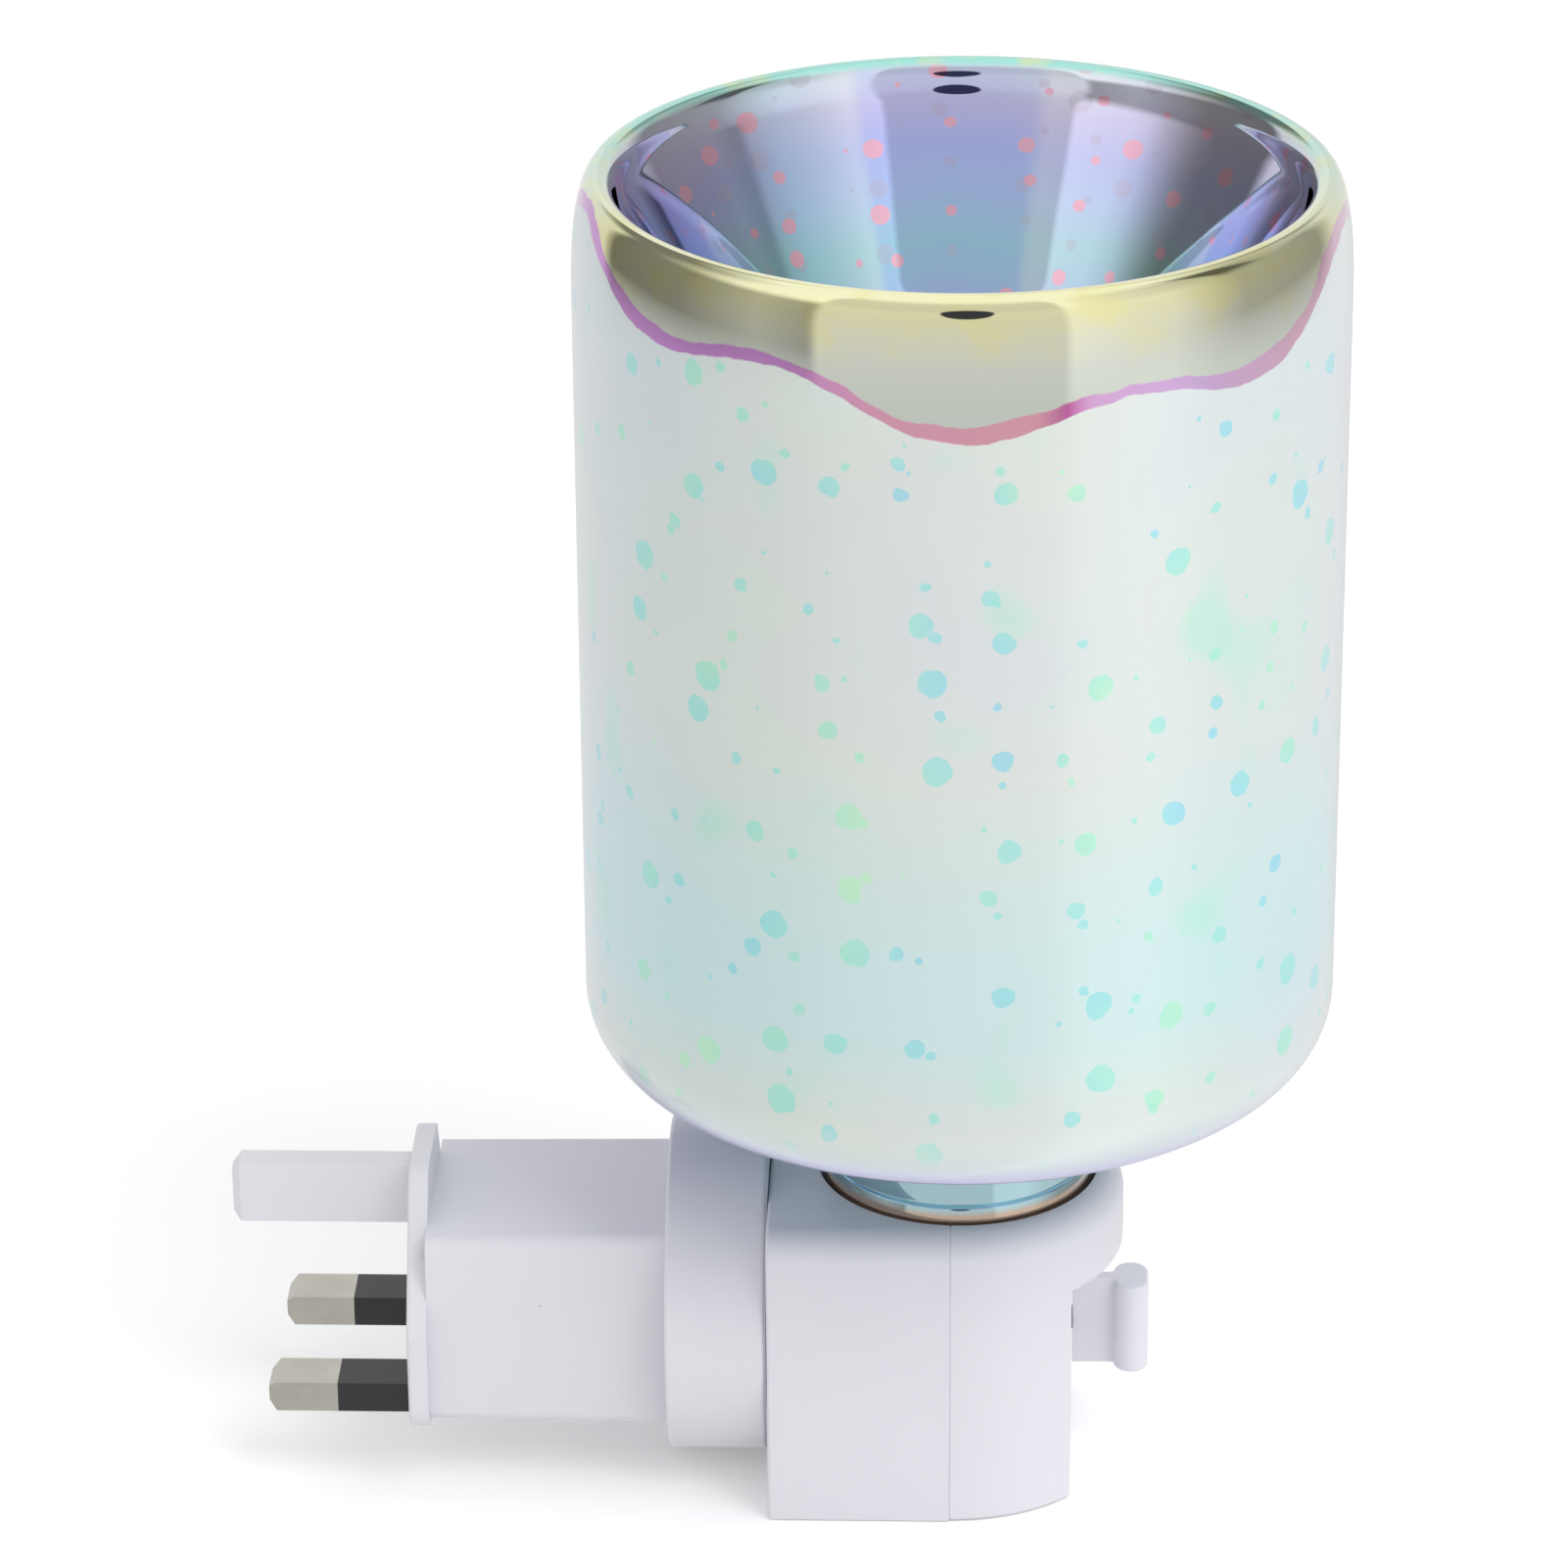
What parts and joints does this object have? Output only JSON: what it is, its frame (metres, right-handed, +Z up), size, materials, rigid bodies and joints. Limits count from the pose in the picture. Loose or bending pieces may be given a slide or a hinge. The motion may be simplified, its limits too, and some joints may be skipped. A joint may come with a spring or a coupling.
{
  "type": "wax melt warmer",
  "caption": "Plug-in wax melt warmer: a double-walled iridescent glass shade with a wax dish in its top, on a swivelling white plug-in lamp base with a rotary switch.",
  "frame": {"origin": "middle of the plug's flat face, where the swivel axis meets the wall socket", "axes": "+Y into the wall along the pins and the swivel axis, -Y to the room, +Z up along the glass shade"},
  "size_m": [0.092, 0.137, 0.1696],
  "materials": {
    "shade_glass": "electroplated borosilicate glass, pearly and iridescent, with a mirrored rim and dish",
    "white_abs": "moulded white ABS, satin",
    "pin_metal": "nickel-plated brass",
    "sleeve_black": "black moulded nylon",
    "screw_steel": "zinc-plated steel",
    "contact_brass": "bare pressed brass",
    "carrier_plastic": "moulded heat-resistant plastic",
    "holder_plastic": "moulded white thermoset",
    "lamp_glass": "clear soda-lime glass",
    "lamp_cap": "rolled aluminium",
    "lamp_insulator": "black glass insulator",
    "filament_metal": "drawn tungsten and nickel wire",
    "lead_brown": "brown PVC insulation",
    "lead_blue": "blue PVC insulation"
  },
  "bodies": {
    "plug": {"plug_body": "white_abs", "pin_plate": "white_abs", "live_pin": "pin_metal", "neutral_pin": "pin_metal", "earth_pin": "white_abs", "live_pin_sleeve": "sleeve_black", "neutral_pin_sleeve": "sleeve_black", "plate_screws": "screw_steel", "collar_screws": "screw_steel", "swivel_collar": "white_abs", "swivel_retainer": "screw_steel", "slip_ring_carrier": "carrier_plastic", "live_slip_ring": "contact_brass", "neutral_slip_ring": "contact_brass", "plug_live_lead": "lead_brown", "plug_neutral_lead": "lead_blue"},
    "housing": {"rear_shell": "white_abs", "front_shell": "white_abs", "shell_screws": "screw_steel", "live_brush": "contact_brass", "neutral_brush": "contact_brass", "switch_body": "carrier_plastic", "switch_tabs": "contact_brass", "lampholder_body": "holder_plastic", "screw_shell": "contact_brass", "centre_contact": "contact_brass", "holder_terminals": "contact_brass", "lamp_tip": "contact_brass", "lamp_insulator": "lamp_insulator", "lamp_cap": "lamp_cap", "lamp_glass": "lamp_glass", "lamp_stem": "lamp_glass", "lamp_filament": "filament_metal", "live_lead": "lead_brown", "neutral_lead": "lead_blue", "switch_lead": "lead_brown"},
    "knob": {"switch_spindle": "carrier_plastic", "switch_knob": "white_abs"},
    "shade": {"glass_shade": "shade_glass"}
  },
  "joints": [
    {"name": "plug_swivel", "type": "hinge", "parent": "plug", "child": "housing", "pos_m": [0, -0.0446, 0], "axis": [0, 1, 0], "range_deg": [-90, 90]},
    {"name": "switch_turn", "type": "hinge", "parent": "housing", "child": "knob", "pos_m": [0, -0.0825, -0.0048], "axis": [0, 1, 0], "range_deg": [0, 90]},
    {"name": "shade_lift", "type": "slide", "parent": "housing", "child": "shade", "axis": [0, 0, 1], "range_m": [0, 0.08]}
  ]
}
